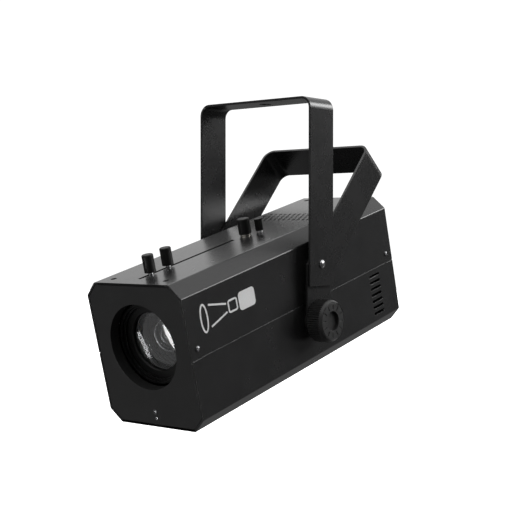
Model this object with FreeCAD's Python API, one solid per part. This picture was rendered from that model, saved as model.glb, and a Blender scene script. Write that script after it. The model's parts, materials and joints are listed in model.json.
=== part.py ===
"""Compact LED profile projector with manual focus, zoom and pattern wheel, hung in a double yoke.

Row frame: millimetres, +Z up, the lens looks towards -Y, and the origin is the centre of the clamp
hole on the top face of the hanging yoke. The housing and all it holds are drawn level in a frame of
their own, whose origin is the middle of the tilt axis, and are then tilted nose-down into place.
"""
import FreeCAD, Part
import math
import os

V = FreeCAD.Vector

# Housing: an eight-sided sheet-metal tube, long in Y
WIDTH = 123.0
LENGTH = 336.5
CHAMFER = 13.0
TOP_Z = 90.8
BOTTOM_Z = -50.6
FRONT_Y = -178.7
REAR_Y = FRONT_Y + LENGTH
WALL = 2.0
SEAM_Z = 19.5               # where the top cover meets the bottom pan
SEAM_GAP = 0.4
SEAM_BREAK = 0.3            # chamfer along the pan's upper edge
SEAM_RELIEF = 0.9           # deeper chamfer at the ends and beside the tilt axis
SEAM_RELIEFS_Y = (13.0, 26.0, 39.0)  # length at the ends, then the middle one's first and last y
END_GAP = 0.5               # round the edge of the front and rear plates
PLATE = 2.0
PLATE_SET_BACK = 0.3
FOLD_R = 2.5                # outside radius of the folds along the tube
REBATE = 9.0                # the floor is thinned this far back, under the front plate
LIP = 0.6                   # its thickness there
SHEET = 1.6                 # flanges, brackets and circuit boards
HALF = WIDTH / 2
INNER = HALF - WALL
ROOF = TOP_Z - WALL
FLOOR = BOTTOM_Z + WALL

# Placement of the housing
TILT = 15.0
YOKE_RISE = 225.0           # tilt axis to the top face of the hanging yoke

# Yokes: flat bar
BAR_WIDTH = 38.8
BAR = 2.5
BAR_EDGE_R = 0.5
BEND_R = 12.0
HANG_HALF = 74.0
FLOOR_HALF = 70.9
HANG_LEG_END = 35.0         # height of the leg ends above the tilt axis
PIVOT_Z = 57.0              # pivot between the yokes, above the tilt axis
DOGLEG_Z = 49.4
DOGLEG = 40.9
FLOOR_REACH = 158.9         # dog-leg to the outer face of the floor yoke's cross bar
CLAMP_HOLE_R = 6.5
PIVOT_R = 2.5
PIVOT_NUT = 4.0
STUD_R = 4.0
RUNNING = 0.05              # radial play of a turning fit

# Clamp knobs
KNOB_R = 21.5
KNOB_DEPTH = 16.8
KNOB_RIBS = 60
KNOB_HUB_R = 10.0

# Optics, all on one axis parallel to Y
AXIS_Z = 28.5
APERTURE_R = 42.0
COLLAR_DEPTH = 9.0          # light trap behind the aperture, round the focus barrel
ROD_X = 50.0
ROD_R = 3.0
GATE_Y = 8.8                # front face of the gate plate
FOCUS_Y = -147.9
ZOOM_Y = -123.3
SLOT = (-164.2, -24.7, 4.2)  # first end, last end, width
SLOT_X = -2.5               # the lock knobs' slot lies just off the centre line
BUSH_R = 4.5
KNOB_BASE = TOP_Z + 2.2      # underside of every thumb knob on the roof
FOCUS_BARREL = (FOCUS_Y - 19.1, FOCUS_Y + 6.9, 40.0)
FOCUS_LENS = {"front_y": FOCUS_Y - 10.6, "edge": 4.0, "radius": 30.5, "front_rise": 7.0, "rear_rise": 4.0}
ZOOM_BARREL = (ZOOM_Y - 7.7, ZOOM_Y + 22.3, 36.0)
ZOOM_LENS = {"front_y": ZOOM_Y - 1.0, "edge": 5.0, "radius": 30.0, "front_rise": 5.0, "rear_rise": 5.0}

# Pattern wheel drive: a pinion on the knob's shaft turns a face gear
WHEEL_SHAFT_Y = -8.2
PINION_TEETH = 12
FACE_TEETH = 60
MODULE = 1.0
PITCH_PLANE_Y = -2.2
FACE_WIDTH = 3.0
SHAFT_R = 2.5
GATE_SCREW = (8.0, 5.4)

# Screws
M3 = 1.5
SIDE_SCREWS_Y = (-169.7, 146.6)
SIDE_SCREW_Z = 28.4
TOP_SCREWS = ((34.5, -166.0), (35.0, 146.0))
SUNK_HEAD_R = 2.8
FRONT_SCREW_Z = -35.5
RIVET_Z = -42.1
RIVET_R = 1.1
REAR_TAB_X = 22.0
REAR_TAB_Z = FLOOR + 6.0

# Vents
SIDE_VENTS = {"y": (109.7, 128.5), "z": 11.7, "pitch": 6.9, "count": 7, "height": 3.0}
TOP_VENTS = {"rows": 4, "y": 56.5, "pitch": 8.0, "across": 13, "x_pitch": 6.5, "length": 5.4, "width": 3.0}

# Lamp engine behind the gate
CONDENSER_END = 38.0
BOARD_Y = 46.0
SINK_Y = (BOARD_Y + SHEET, 92.0)
SINK_HALF = 45.0
SINK_BASE = 6.0
FAN_DEPTH = 15.0
FAN_HALF = 40.0
FAN_HOLE_R = 1.6
SUPPLY_Z = FLOOR + 6.0      # underside of the power supply board
SUPPLY_HALF_Y = 60.0

# Mains inlet on the rear plate
INLET_Z = -20.0
INLET_FLANGE = 3.0
INLET_SCREW_X = 20.0
PIN_PLACES = ((-7.0, INLET_Z - 2.0), (7.0, INLET_Z - 2.0), (0.0, INLET_Z + 2.0))
SOCKET_DEPTH = 16.5
DRAWER_Z = (INLET_Z + 11.4, INLET_Z + 20.6)
DRAWER_HALF = 11.5
EYE_Z = 62.0


# ---------------------------------------------------------------- simple shapes

def box(x, y, z):
    return Part.makeBox(x[1] - x[0], y[1] - y[0], z[1] - z[0], V(x[0], y[0], z[0]))


def rod(start, axis, radius, length):
    return Part.makeCylinder(radius, length, V(*start), V(*axis))


def ring(start, axis, outer, inner, length):
    return rod(start, axis, outer, length).cut(rod(start, axis, inner, length))


def fused(shapes):
    whole = shapes[0]
    for shape in shapes[1:]:
        whole = whole.fuse(shape)
    return whole.removeSplitter()


def prism(points, vector):
    corners = [V(*p) for p in points]
    return Part.Face(Part.makePolygon(corners + corners[:1])).extrude(V(*vector))


def both_sides(make):
    return [make(1), make(-1)]


def turned(profile):
    """Revolves (radius, y) corners about the optical axis."""
    points = [(0, y, AXIS_Z + r) for r, y in profile]
    corners = [V(*p) for p in points]
    face = Part.Face(Part.makePolygon(corners + corners[:1]))
    return face.revolve(V(0, 0, AXIS_Z), V(0, 1, 0), 360)


def eight_sided(inset, y):
    """A bar with the housing's cross-section, drawn in by inset, between two values of y."""
    cut = CHAMFER - inset * (2 - math.sqrt(2))
    x, low, high = HALF - inset, BOTTOM_Z + inset, TOP_Z - inset
    outline = [(x, low + cut), (x, high - cut), (x - cut, high), (cut - x, high),
               (-x, high - cut), (-x, low + cut), (cut - x, low), (x - cut, low)]
    bar = prism([(a, y[0], b) for a, b in outline], (0, y[1] - y[0], 0))
    if inset >= FOLD_R:
        return bar
    folds = [edge for edge in bar.Edges if abs(edge.Length - (y[1] - y[0])) < 1e-6
             and abs(edge.tangentAt(edge.FirstParameter).y) > 0.99]
    return bar.makeFillet(FOLD_R - inset, folds)


def slot_along_y(x, y, width, z):
    r = width / 2
    middle = box((x - r, x + r), (y[0] + r, y[1] - r), z)
    ends = [rod((x, end, z[0]), (0, 0, 1), r, z[1] - z[0]) for end in (y[0] + r, y[1] - r)]
    return fused([middle] + ends)


def seated(shape, seat, outward):
    """Moves a shape drawn round the origin, facing +Z, to a seat that faces outward."""
    shape.Placement = FreeCAD.Placement(V(*seat), FreeCAD.Rotation(V(0, 0, 1), V(*outward)))
    return shape


def cross_recess(radius, top, depth):
    arm, half = radius * 0.6, radius * 0.13
    return [box((-arm, arm), (-half, half), (top - depth, top)),
            box((-half, half), (-arm, arm), (top - depth, top))]


def domed_screw(seat, outward, head_r, head_h, shank_r, length):
    rise = head_h * 0.65
    ball_r = (head_r ** 2 + rise ** 2) / (2 * rise)
    head = rod((0, 0, 0), (0, 0, 1), head_r, head_h).common(Part.makeSphere(ball_r, V(0, 0, head_h - ball_r)))
    screw = head.fuse(rod((0, 0, -length), (0, 0, 1), shank_r, length))
    for arm in cross_recess(head_r, head_h, head_h * 0.6):
        screw = screw.cut(arm)
    return seated(screw, seat, outward)


def sunk_screw(seat, outward, head_r, shank_r, length):
    taper = head_r - shank_r
    screw = Part.makeCone(shank_r, head_r, taper, V(0, 0, -taper)).fuse(
        rod((0, 0, -length), (0, 0, 1), shank_r, length))
    for arm in cross_recess(head_r, 0, taper * 0.7):
        screw = screw.cut(arm)
    return seated(screw, seat, outward)


# ---------------------------------------------------------------- yokes (level, tilt axis at the origin)

def strap(half, top, bottom):
    """A U of flat bar, open below: legs at plus and minus half, cross bar's outer face at top."""
    def outline(inset, r):
        x, z = half - inset, top - inset
        bend = r * (1 - math.sqrt(0.5))
        def at(a, b):
            return V(a, -BAR_WIDTH / 2, b)
        return Part.Wire([
            Part.makeLine(at(-x, bottom), at(-x, z - r)),
            Part.Arc(at(-x, z - r), at(bend - x, z - bend), at(r - x, z)).toShape(),
            Part.makeLine(at(r - x, z), at(x - r, z)),
            Part.Arc(at(x - r, z), at(x - bend, z - bend), at(x, z - r)).toShape(),
            Part.makeLine(at(x, z - r), at(x, bottom)),
            Part.makeLine(at(x, bottom), at(-x, bottom))])
    width = V(0, BAR_WIDTH, 0)
    outer = Part.Face(outline(0, BEND_R)).extrude(width)
    return outer.cut(Part.Face(outline(BAR, BEND_R - BAR)).extrude(width))


def across(y, z, radius):
    """A cutter along X, right through both legs of a yoke."""
    return rod((-100, y, z), (1, 0, 0), radius, 200)


def hanging_yoke():
    yoke = strap(HANG_HALF, YOKE_RISE, HANG_LEG_END)
    long_edges = [edge for edge in yoke.Edges if edge.BoundBox.YLength < 1e-6
                  and edge.BoundBox.ZMax > HANG_LEG_END + 1]
    yoke = yoke.makeFillet(BAR_EDGE_R, long_edges)
    yoke = yoke.cut(rod((0, 0, YOKE_RISE - 2 * BAR), (0, 0, 1), CLAMP_HOLE_R, 4 * BAR))
    return [yoke.cut(across(0, PIVOT_Z, PIVOT_R + RUNNING))]


def floor_yoke():
    """Legs stand up from the tilt axis, then lean back to the cross bar."""
    half_turn = FreeCAD.Rotation(V(1, 0, 0), -DOGLEG / 2)
    lean = FreeCAD.Rotation(V(1, 0, 0), -DOGLEG)
    corner = V(0, 0, DOGLEG_Z)
    keep = 400
    above = Part.makeBox(keep, keep, keep, V(-keep / 2, -keep / 2, 0))
    above.Placement = FreeCAD.Placement(corner, half_turn)
    upper = strap(FLOOR_HALF, FLOOR_REACH, -BAR_WIDTH)
    upper = upper.cut(rod((0, 0, FLOOR_REACH - 2 * BAR), (0, 0, 1), CLAMP_HOLE_R, 4 * BAR))
    upper.Placement = FreeCAD.Placement(corner, lean)
    pieces = [upper.common(above)]
    for x in (-FLOOR_HALF, FLOOR_HALF - BAR):
        leg = box((x, x + BAR), (-BAR_WIDTH / 2, BAR_WIDTH / 2), (0, DOGLEG_Z + BAR_WIDTH))
        leg = leg.fuse(rod((x, 0, 0), (1, 0, 0), BAR_WIDTH / 2, BAR))
        pieces.append(leg.cut(above))
    yoke = fused(pieces)
    return [yoke.cut(across(0, PIVOT_Z, PIVOT_R)).cut(across(0, 0, STUD_R + RUNNING))]


def yoke_pivot_screws():
    nut_end = FLOOR_HALF - BAR - PIVOT_NUT - 0.4
    return both_sides(lambda s: domed_screw((s * HANG_HALF, 0, PIVOT_Z), (s, 0, 0), 4.2, 2.6, PIVOT_R,
                                            HANG_HALF - nut_end))


def yoke_pivot_washers():
    gap = HANG_HALF - BAR - FLOOR_HALF
    return both_sides(lambda s: ring((s * FLOOR_HALF, 0, PIVOT_Z), (s, 0, 0), 8.0, PIVOT_R + RUNNING, gap))


def yoke_pivot_nuts():
    def nut(side):
        inside = side * (FLOOR_HALF - BAR)
        corners = [(inside, 4.6 * math.cos(a), PIVOT_Z + 4.6 * math.sin(a))
                   for a in (k * math.pi / 3 for k in range(6))]
        return prism(corners, (-side * PIVOT_NUT, 0, 0)).cut(across(0, PIVOT_Z, PIVOT_R))
    return both_sides(nut)


# ---------------------------------------------------------------- housing shells

def vents_in_side(side):
    v = SIDE_VENTS
    for k in range(v["count"]):
        z = v["z"] - k * v["pitch"]
        x = sorted((side * (INNER - 1), side * (HALF + 1)))
        yield box(x, v["y"], (z - v["height"] / 2, z + v["height"] / 2))


def vents_in_roof():
    v = TOP_VENTS
    for row in range(v["rows"]):
        y = v["y"] + row * v["pitch"]
        shift = 0.5 * (row % 2)
        for k in range(v["across"] - row % 2):
            x = (k + shift - (v["across"] - 1) / 2) * v["x_pitch"]
            ends = (y - v["length"] / 2, y + v["length"] / 2)
            yield slot_along_y(x, ends, v["width"], (ROOF - 1, TOP_Z + 1))


def seam_chamfers():
    """Breaks the pan's upper outer edge, more deeply at both ends and beside the tilt axis."""
    top = SEAM_Z - SEAM_GAP / 2
    end, first, last = SEAM_RELIEFS_Y
    runs = [(FRONT_Y, REAR_Y, SEAM_BREAK), (FRONT_Y, FRONT_Y + end, SEAM_RELIEF),
            (first, last, SEAM_RELIEF), (REAR_Y - end, REAR_Y, SEAM_RELIEF)]
    for side in (1, -1):
        for start, stop, size in runs:
            yield prism([(side * (HALF + 1), start, top + 1), (side * (HALF - size - 1), start, top + 1),
                         (side * (HALF + 1), start, top - size - 1)], (0, stop - start, 0))


def top_cover():
    ends = (FRONT_Y, REAR_Y)
    tube = eight_sided(0, ends).cut(eight_sided(WALL, ends))
    cover = tube.common(box((-HALF, HALF), ends, (SEAM_Z + SEAM_GAP / 2, TOP_Z)))
    cuts = list(vents_in_roof())
    cuts.append(slot_along_y(SLOT_X, SLOT[:2], SLOT[2], (ROOF - 1, TOP_Z + 1)))
    cuts.append(rod((0, WHEEL_SHAFT_Y, ROOF - 1), (0, 0, 1), 4.0, WALL + 2))
    cuts.append(rod((*GATE_SCREW, ROOF - 1), (0, 0, 1), 2.3, WALL + 2))
    for y in SIDE_SCREWS_Y:
        cuts.append(across(y, SIDE_SCREW_Z, M3 + 0.2))
    for x, y in TOP_SCREWS:
        for side in (1, -1):
            cuts.append(rod((side * x, y, ROOF - 1), (0, 0, 1), M3 + 0.2, WALL + 2))
            cuts.append(Part.makeCone(M3, 3.0, 1.5, V(side * x, y, TOP_Z - 1.9)))
            cuts.append(rod((side * x, y, TOP_Z - 0.4), (0, 0, 1), 3.0, 1))
    for cutter in cuts:
        cover = cover.cut(cutter)
    return [cover]


def bottom_pan():
    ends = (FRONT_Y, REAR_Y)
    tube = eight_sided(0, ends).cut(eight_sided(WALL, ends))
    pan = tube.common(box((-HALF, HALF), ends, (BOTTOM_Z, SEAM_Z - SEAM_GAP / 2)))
    lip_y = (FRONT_Y + 18, REAR_Y - 18)
    lips = [box(sorted((s * (INNER - SHEET), s * INNER)), lip_y, (SEAM_Z - 5, SEAM_Z + 4.5)) for s in (1, -1)]
    behind_front = FRONT_Y + PLATE_SET_BACK + PLATE
    tab = box((-8, 8), (behind_front, behind_front + SHEET), (BOTTOM_Z + LIP, FLOOR + 20))
    in_front_of_rear = REAR_Y - PLATE_SET_BACK - PLATE
    rear_tab = box((-30, 30), (in_front_of_rear - SHEET, in_front_of_rear), (FLOOR, FLOOR + 12))
    rebate_x = HALF - CHAMFER
    pan = pan.cut(box((-rebate_x, rebate_x), (FRONT_Y - 1, FRONT_Y + REBATE), (BOTTOM_Z + LIP, FLOOR)))
    pan = fused([pan, tab, rear_tab] + lips)
    cuts = [rod((0, FRONT_Y, FRONT_SCREW_Z), (0, 1, 0), M3, 8),
            rod((0, FRONT_Y, RIVET_Z), (0, 1, 0), RIVET_R, 8)]
    cuts += [rod((s * REAR_TAB_X, REAR_Y - 8, REAR_TAB_Z), (0, 1, 0), M3, 8) for s in (1, -1)]
    cuts += [across(0, 0, STUD_R + 0.5)]
    for side in (1, -1):
        cuts += list(vents_in_side(side))
    for cutter in cuts + list(seam_chamfers()):
        pan = pan.cut(cutter)
    return [pan]


def flanges(y, screw_y, top_x):
    """Bent-back edges of an end plate, with the tapped holes that hold the top cover."""
    inset = WALL + END_GAP
    tops = [box(sorted((s * 20, s * 44)), y, (TOP_Z - inset - SHEET, TOP_Z - inset)) for s in (1, -1)]
    sides = [box(sorted((s * (HALF - inset - SHEET), s * (HALF - inset))), y, (8, 48)) for s in (1, -1)]
    cuts = [across(screw_y, SIDE_SCREW_Z, M3)]
    cuts += [rod((s * top_x[0], top_x[1], ROOF - 8), (0, 0, 1), M3, 12) for s in (1, -1)]
    shapes = []
    for flange in tops + sides:
        for cutter in cuts:
            flange = flange.cut(cutter)
        shapes.append(flange)
    return shapes


def front_plate():
    y = (FRONT_Y + PLATE_SET_BACK, FRONT_Y + PLATE_SET_BACK + PLATE)
    plate = eight_sided(WALL + END_GAP, y)
    collar = rod((0, y[1], AXIS_Z), (0, 1, 0), APERTURE_R + 1.5, COLLAR_DEPTH)
    plate = fused([plate, collar] + flanges((y[1], y[1] + 13), SIDE_SCREWS_Y[0], TOP_SCREWS[0]))
    cuts = [rod((0, FRONT_Y - 1, AXIS_Z), (0, 1, 0), APERTURE_R, 20),
            rod((0, FRONT_Y, FRONT_SCREW_Z), (0, 1, 0), M3, 8),
            rod((0, FRONT_Y, RIVET_Z), (0, 1, 0), RIVET_R, 8)]
    for cutter in cuts:
        plate = plate.cut(cutter)
    return [plate]


def rear_plate():
    y = (REAR_Y - PLATE_SET_BACK - PLATE, REAR_Y - PLATE_SET_BACK)
    plate = eight_sided(WALL + END_GAP, y)
    plate = fused([plate] + flanges((y[0] - 13, y[0]), SIDE_SCREWS_Y[1], TOP_SCREWS[1]))
    cuts = [box((-14.2, 14.2), (y[0] - 1, y[1] + 1), (INLET_Z - 11.2, INLET_Z + 22.2))]
    cuts += [rod((s * INLET_SCREW_X, y[0] - 1, INLET_Z), (0, 1, 0), M3, 8) for s in (1, -1)]
    cuts += [rod((s * REAR_TAB_X, y[0] - 1, REAR_TAB_Z), (0, 1, 0), M3, 8) for s in (1, -1)]
    cuts += [rod((0, y[0] - 1, EYE_Z), (0, 1, 0), 3.0, 8)]
    for row in range(5):
        for s in (1, -1):
            cuts.append(box(sorted((s * 22, s * 46)), (y[0] - 1, y[1] + 1), (20 + row * 7, 23 + row * 7)))
    for cutter in cuts:
        plate = plate.cut(cutter)
    return [plate]


def domed_screws():
    """Side screws of the cover, screws of both end plates, and the long screws of the fan."""
    front, rear = FRONT_Y + PLATE_SET_BACK, REAR_Y - PLATE_SET_BACK
    screws = [domed_screw((s * HALF, y, SIDE_SCREW_Z), (s, 0, 0), 2.7, 1.7, M3, 7.5)
              for s in (1, -1) for y in SIDE_SCREWS_Y]
    screws += [domed_screw((s * REAR_TAB_X, rear, REAR_TAB_Z), (0, 1, 0), 2.7, 1.7, M3, 5) for s in (1, -1)]
    screws.append(domed_screw((0, front, FRONT_SCREW_Z), (0, -1, 0), 2.5, 1.2, M3, 5))
    screws.append(domed_screw((0, front, RIVET_Z), (0, -1, 0), 1.6, 0.5, RIVET_R, 4))
    fan_back = SINK_Y[1] + FAN_DEPTH
    screws += [domed_screw((x, fan_back, AXIS_Z + z), (0, 1, 0), 2.7, 1.7, FAN_HOLE_R, FAN_DEPTH)
               for x, z in fan_corners()]
    return screws


def sunk_screws():
    """Cover screws in the roof and the screws of the mains inlet."""
    screws = [sunk_screw((s * x, y, TOP_Z - 0.6), (0, 0, 1), SUNK_HEAD_R, M3, 6)
              for s in (1, -1) for x, y in TOP_SCREWS]
    mouth = REAR_Y - PLATE_SET_BACK + INLET_FLANGE
    screws += [sunk_screw((s * INLET_SCREW_X, mouth, INLET_Z), (0, 1, 0), SUNK_HEAD_R, M3, 8)
               for s in (1, -1)]
    return screws


def tilt_inserts():
    return both_sides(lambda s: box(sorted((s * (INNER - 5), s * INNER)), (-8, 8), (-12, 12)).cut(
        across(0, 0, STUD_R + RUNNING)))


def tilt_spacers():
    gap = FLOOR_HALF - BAR - HALF
    return both_sides(lambda s: ring((s * HALF, 0, 0), (s, 0, 0), 12.0, STUD_R + 0.5, gap))


# ---------------------------------------------------------------- clamp knobs

def clamp_knob(side):
    """A ribbed knob drawn from its base at z = 0 to its face, with a round hub well and face ribs."""
    steps = 2 * KNOB_RIBS
    radii = (KNOB_R, KNOB_R - 0.9)
    rim = []
    for k in range(steps):
        angle = 2 * math.pi * k / steps
        rim.append((radii[k % 2] * math.cos(angle), radii[k % 2] * math.sin(angle), 0))
    bevel = 3.2
    blank = fused([rod((0, 0, 0), (0, 0, 1), KNOB_R, KNOB_DEPTH - bevel),
                   Part.makeCone(KNOB_R, KNOB_R - 2.2, bevel, V(0, 0, KNOB_DEPTH - bevel))])
    knob = prism(rim, (0, 0, KNOB_DEPTH)).common(blank)
    knob = knob.cut(rod((0, 0, KNOB_DEPTH - 3.5), (0, 0, 1), KNOB_HUB_R, 4))
    knob = knob.cut(ring((0, 0, KNOB_DEPTH - 0.5), (0, 0, 1), 19.0, 18.2, 1))
    for k in range(12):
        groove = box((11.6, 16.6), (-0.6, 0.6), (KNOB_DEPTH - 0.7, KNOB_DEPTH + 1))
        groove.rotate(V(0, 0, 0), V(0, 0, 1), k * 30 + 15)
        knob = knob.cut(groove)
    knob = knob.cut(rod((0, 0, -1), (0, 0, 1), STUD_R, 13)).cut(rod((0, 0, -1), (0, 0, 1), 13.3, 2.4))
    return [seated(knob, (side * (FLOOR_HALF + 0.2), 0, 0), (side, 0, 0))]


def clamp_stud(side):
    return [rod((side * (INNER - 5.5), 0, 0), (side, 0, 0), STUD_R, FLOOR_HALF + 12.2 - INNER + 5.5)]


def clamp_washer(side):
    return [ring((side * FLOOR_HALF, 0, 0), (side, 0, 0), 13.0, STUD_R + RUNNING, 1.6)]


# ---------------------------------------------------------------- lens carriers

def carrier(y, barrel, post_half):
    """A lens carrier: barrel, ears that ride on the guide rods, and a post up to the lock knob."""
    plate = (y - 3.5, y + 3.5)
    solid = turned([(0, barrel[0]), (barrel[2], barrel[0]), (barrel[2], barrel[1]), (0, barrel[1])])
    ears = box((-56, 56), plate, (AXIS_Z - 9, AXIS_Z + 9))
    post = box((SLOT_X - post_half, SLOT_X + post_half), plate, (AXIS_Z, ROOF - 1.5))
    whole = fused([solid, ears, post])
    for x in (ROD_X, -ROD_X):
        whole = whole.cut(rod((x, plate[0], AXIS_Z), (0, 1, 0), BUSH_R, 7))
    return whole.cut(rod((SLOT_X, y, ROOF - 12), (0, 0, 1), M3 + RUNNING, 12))


def lens(front_y, edge, radius, front_rise, rear_rise):
    """A biconvex lens: an edge of the given thickness between two spherical caps."""
    def ball(rise, apex, way):
        r = (radius ** 2 + rise ** 2) / (2 * rise)
        return Part.makeSphere(r, V(0, apex + way * r, AXIS_Z))
    blank = rod((0, front_y - front_rise, AXIS_Z), (0, 1, 0), radius, front_rise + edge + rear_rise)
    front = ball(front_rise, front_y - front_rise, 1)
    rear = ball(rear_rise, front_y + edge + rear_rise, -1)
    return [blank.common(front).common(rear)]


def focus_carrier():
    """The barrel's mouth steps down in rings to the seat of the lens."""
    front, back = FOCUS_BARREL[0] - 0.1, FOCUS_BARREL[1] + 0.1
    seat, edge = FOCUS_LENS["front_y"], FOCUS_LENS["edge"]
    lens_r = FOCUS_LENS["radius"]
    bore = turned([(0, front), (38, front), (38, front + 3.5), (36, front + 3.5), (36, front + 6),
                   (34, front + 6), (34, seat), (lens_r, seat), (lens_r, seat + edge),
                   (lens_r - 2, seat + edge + 0.8), (lens_r - 2, seat + edge + 2), (36, seat + edge + 2),
                   (36, back), (0, back)])
    return [carrier(FOCUS_Y, FOCUS_BARREL, 6).cut(bore)]


def focus_lens_ring():
    seat = FOCUS_LENS["front_y"]
    return [turned([(34, seat - 2.8), (34, seat), (30.7, seat), (28.5, seat - 1.15), (28.5, seat - 1.8),
                    (29.5, seat - 2.8)])]


def zoom_carrier():
    front, back = ZOOM_BARREL[0] - 0.1, ZOOM_BARREL[1] + 0.1
    seat, edge, lens_r = ZOOM_LENS["front_y"], ZOOM_LENS["edge"], ZOOM_LENS["radius"]
    bore = turned([(0, front), (33, front), (33, seat), (lens_r, seat), (lens_r, seat + edge),
                   (lens_r - 2, seat + edge + 0.9), (lens_r - 2, seat + edge + 2), (33, seat + edge + 2),
                   (33, back), (0, back)])
    return [carrier(ZOOM_Y, ZOOM_BARREL, 6).cut(bore)]


def zoom_lens_ring():
    seat = ZOOM_LENS["front_y"]
    return [turned([(33, seat - 2.4), (33, seat), (30.2, seat), (27.5, seat - 1.05), (27.5, seat - 2.4)])]


def carrier_bushes(y):
    return [ring((x, y - 3.5, AXIS_Z), (0, 1, 0), BUSH_R, ROD_R + RUNNING, 7) for x in (ROD_X, -ROD_X)]


def lock_knob(y):
    """A plain thumb knob moulded on its screw, on a collar that stands just clear of the roof."""
    collar = rod((SLOT_X, y, TOP_Z + 0.3), (0, 0, 1), 2.4, 2)
    body = rod((SLOT_X, y, KNOB_BASE), (0, 0, 1), 5.6, 16.4)
    crown = Part.makeCone(5.6, 4.9, 0.8, V(SLOT_X, y, KNOB_BASE + 16.4))
    screw = rod((SLOT_X, y, ROOF - 11.5), (0, 0, 1), M3, TOP_Z + 14 - ROOF + 11.5)
    return [fused([collar, body, crown]).cut(screw), screw]


def guide_rods():
    front = FRONT_Y + PLATE_SET_BACK + PLATE
    return [rod((x, front, AXIS_Z), (0, 1, 0), ROD_R, GATE_Y + PLATE - front) for x in (ROD_X, -ROD_X)]


def rod_blocks():
    front = FRONT_Y + PLATE_SET_BACK + PLATE
    outer = HALF - WALL - END_GAP - SHEET
    def block(side):
        blank = box(sorted((side * 44.5, side * outer)), (front, front + 9), (AXIS_Z - 7, AXIS_Z + 7))
        blank = blank.cut(rod((side * ROD_X, front, AXIS_Z), (0, 1, 0), ROD_R, 9))
        return blank.cut(rod((side * (ROD_X + ROD_R), SIDE_SCREWS_Y[0], SIDE_SCREW_Z), (side, 0, 0), M3, 10))
    return both_sides(block)


# ---------------------------------------------------------------- gate and pattern wheel

def gate_plate():
    plate = eight_sided(WALL + 0.6, (GATE_Y, GATE_Y + PLATE))
    shelf = box((0, 16), (1, GATE_Y), (ROOF - 4, ROOF - 2))
    plate = fused([plate, shelf])
    plate = plate.cut(rod((0, GATE_Y, AXIS_Z), (0, 1, 0), 27, PLATE))
    lip = INNER - SHEET - 0.4
    for side in (1, -1):
        plate = plate.cut(rod((side * ROD_X, GATE_Y, AXIS_Z), (0, 1, 0), ROD_R, PLATE))
        plate = plate.cut(box(sorted((side * lip, side * HALF)), (0, 20), (SEAM_Z - 6, SEAM_Z + 6)))
    plate = plate.cut(box((-HALF, HALF), (0, 20), (BOTTOM_Z, FLOOR + 14)))
    return [plate.cut(rod((*GATE_SCREW, ROOF - 5), (0, 0, 1), 2.0 + RUNNING, 4))]


def gobo_cassette():
    """A fixed bearing ring on the gate plate, in which the pattern wheel turns."""
    return [turned([(31.08, 2.7), (34, 2.7), (34, -1.3), (40, -1.3), (40, GATE_Y), (31.08, GATE_Y)])]


def gobo_keepers():
    keepers = []
    for angle in (30, 150, 270):
        keeper = box((31.9, 39), (-2.5, -1.3), (-4, 4))
        keeper.rotate(V(0, 0, 0), V(0, 1, 0), -angle)
        keeper.translate(V(0, 0, AXIS_Z))
        keepers.append(keeper)
    return keepers


def gobo_ring():
    """The wheel that carries the pattern disc: hub, flange and face teeth towards the pinion."""
    base_y = PITCH_PLANE_Y + 1.2 * MODULE
    wheel = turned([(23, base_y), (33, base_y), (33, 2.5), (31, 2.5), (31, 8.5), (26.2, 8.5), (26.2, 1.5),
                    (23, 1.5)])
    pitch_r = FACE_TEETH * MODULE / 2
    inner, outer = pitch_r - FACE_WIDTH / 2, pitch_r + FACE_WIDTH / 2
    root, tip = 0.95, 0.35
    tip_y = PITCH_PLANE_Y - MODULE
    section = [(-root, base_y + 0.2, inner), (root, base_y + 0.2, inner),
               (tip, tip_y, inner), (-tip, tip_y, inner)]
    teeth = []
    for k in range(FACE_TEETH):
        tooth = prism(section, (0, 0, outer - inner))
        tooth.rotate(V(0, 0, 0), V(0, 1, 0), (k + 0.5) * 360 / FACE_TEETH)
        tooth.translate(V(0, 0, AXIS_Z))
        teeth.append(tooth)
    return [wheel.fuse(teeth).removeSplitter()]


def gobo():
    """A steel pattern disc, pierced with a ring of petals round a centre hole."""
    disc = rod((0, 1.5, AXIS_Z), (0, 1, 0), 26.1, 0.5)
    disc = disc.cut(rod((0, 1, AXIS_Z), (0, 1, 0), 2.5, 2))
    for k in range(8):
        petal = slot_along_y(0, (6, 19), 5, (0, 2))
        petal.rotate(V(0, 0, 0), V(1, 0, 0), 90)
        petal.translate(V(0, 2.5, 0))
        petal.rotate(V(0, 0, 0), V(0, 1, 0), k * 45)
        petal.translate(V(0, 0, AXIS_Z))
        disc = disc.cut(petal)
    return [disc]


def gobo_spring_ring():
    whole = turned([(24.4, 2.0), (26.2, 2.0), (26.2, 3.2), (24.4, 3.2)])
    return [whole.cut(box((-3, 3), (1, 4), (AXIS_Z - 30, AXIS_Z)))]


def gobo_pinion():
    """A small gear on the lower end of the knob's shaft, in mesh with the face teeth."""
    low = AXIS_Z + FACE_TEETH * MODULE / 2 - FACE_WIDTH / 2
    pitch_r = PINION_TEETH * MODULE / 2
    root_r, tip_r = pitch_r - 1.2 * MODULE, pitch_r + 0.95 * MODULE
    tooth = prism([(0.9, root_r - 0.6, 0), (-0.9, root_r - 0.6, 0), (-0.3, tip_r, 0), (0.3, tip_r, 0)],
                  (0, 0, FACE_WIDTH))
    gear = rod((0, 0, 0), (0, 0, 1), root_r, FACE_WIDTH)
    teeth = []
    for k in range(PINION_TEETH):
        copy = tooth.copy()
        copy.rotate(V(0, 0, 0), V(0, 0, 1), k * 360 / PINION_TEETH)
        teeth.append(copy)
    gear = gear.fuse(teeth).removeSplitter().cut(rod((0, 0, 0), (0, 0, 1), SHAFT_R, FACE_WIDTH))
    gear.translate(V(0, WHEEL_SHAFT_Y, low))
    return [gear]


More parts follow.
